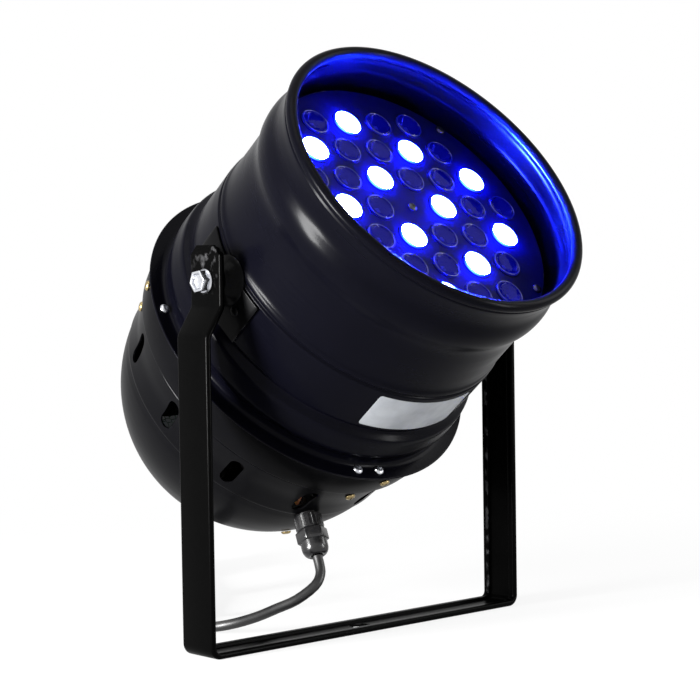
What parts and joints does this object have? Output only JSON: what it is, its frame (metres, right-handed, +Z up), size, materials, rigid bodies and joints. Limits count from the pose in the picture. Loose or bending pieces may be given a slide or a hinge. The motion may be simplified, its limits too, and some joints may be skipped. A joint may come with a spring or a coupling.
{
  "type": "led par can",
  "caption": "Black spun-metal par can with round LED lenses on a hexagonal grid, tilting in a hemmed steel yoke, with a mains lead.",
  "frame": {"origin": "centre of the clamp hole, on the underside of the yoke", "axes": "+Z up through the yoke, X along the tilt axis, the front of the can towards -Y and up"},
  "size_m": [0.273, 0.462, 0.383],
  "materials": {
    "black_steel": "satin black powder coat",
    "black_shell": "semi-gloss black paint on spun metal",
    "led_plate": "matt black",
    "lens": "clear moulded lenses, some lit in blue",
    "circuit_board": "white solder mask",
    "bare_aluminium": "bare",
    "zinc": "bright zinc plating",
    "brass": "plain",
    "display_window": "dark tinted window",
    "black_plastic": "moulded black nylon",
    "cord_rubber": "smooth black cable sheath"
  },
  "bodies": {
    "yoke": {"yoke": "black_steel", "cord_stretch": "cord_rubber", "cord_hank": "cord_rubber", "cord_tie": "black_plastic", "cord_plug": "black_plastic", "plug_contact_1": "brass", "plug_contact_2": "brass"},
    "can": {"bracket_left": "black_steel", "bracket_right": "black_steel", "plate_ring": "black_steel", "rear_panel": "black_steel", "rivet_left_1": "black_steel", "rivet_left_2": "black_steel", "rivet_right_1": "black_steel", "rivet_right_2": "black_steel", "ring_screw_1": "black_steel", "ring_screw_2": "black_steel", "ring_screw_3": "black_steel", "bowl_screw_1": "black_steel", "bowl_screw_2": "black_steel", "bowl_screw_3": "black_steel", "front_barrel": "black_shell", "rear_ring": "black_shell", "rear_bowl": "black_shell", "led_plate": "led_plate", "lens_array": "lens", "led_board": "circuit_board", "control_board": "circuit_board", "heat_sink": "bare_aluminium", "chassis_plate": "bare_aluminium", "power_supply": "bare_aluminium", "bolt_left": "zinc", "bolt_right": "zinc", "nut_left": "zinc", "nut_right": "zinc", "centre_screw": "zinc", "earth_screw": "zinc", "plate_screw_1": "zinc", "plate_screw_2": "zinc", "plate_screw_3": "zinc", "plate_screw_4": "zinc", "flange_screw_1": "zinc", "flange_screw_2": "zinc", "flange_screw_3": "zinc", "flange_screw_4": "zinc", "dome_screw": "brass", "display": "display_window", "gland_body": "black_plastic", "gland_cap": "black_plastic", "gland_locknut": "black_plastic", "signal_in": "black_plastic", "signal_out": "black_plastic", "washer_left": "black_plastic", "washer_right": "black_plastic"},
    "button_1": {"button_1": "black_plastic"},
    "button_2": {"button_2": "black_plastic"},
    "button_3": {"button_3": "black_plastic"},
    "button_4": {"button_4": "black_plastic"}
  },
  "joints": [
    {"name": "tilt", "type": "hinge", "parent": "yoke", "child": "can", "pos_m": [0, 0, 0.2323], "axis": [1, 0, 0], "range_deg": [-50, 60], "deforming": ["cord_stretch"]},
    {"name": "button_1_press", "type": "slide", "parent": "can", "child": "button_1", "axis": [0, -0.7758, 0.6309], "range_m": [0, 0.001], "stiffness_N_per_m": 300, "springref_m": -0.001},
    {"name": "button_2_press", "type": "slide", "parent": "can", "child": "button_2", "axis": [0, -0.7758, 0.6309], "range_m": [0, 0.001], "stiffness_N_per_m": 300, "springref_m": -0.001},
    {"name": "button_3_press", "type": "slide", "parent": "can", "child": "button_3", "axis": [0, -0.7758, 0.6309], "range_m": [0, 0.001], "stiffness_N_per_m": 300, "springref_m": -0.001},
    {"name": "button_4_press", "type": "slide", "parent": "can", "child": "button_4", "axis": [0, -0.7758, 0.6309], "range_m": [0, 0.001], "stiffness_N_per_m": 300, "springref_m": -0.001}
  ]
}
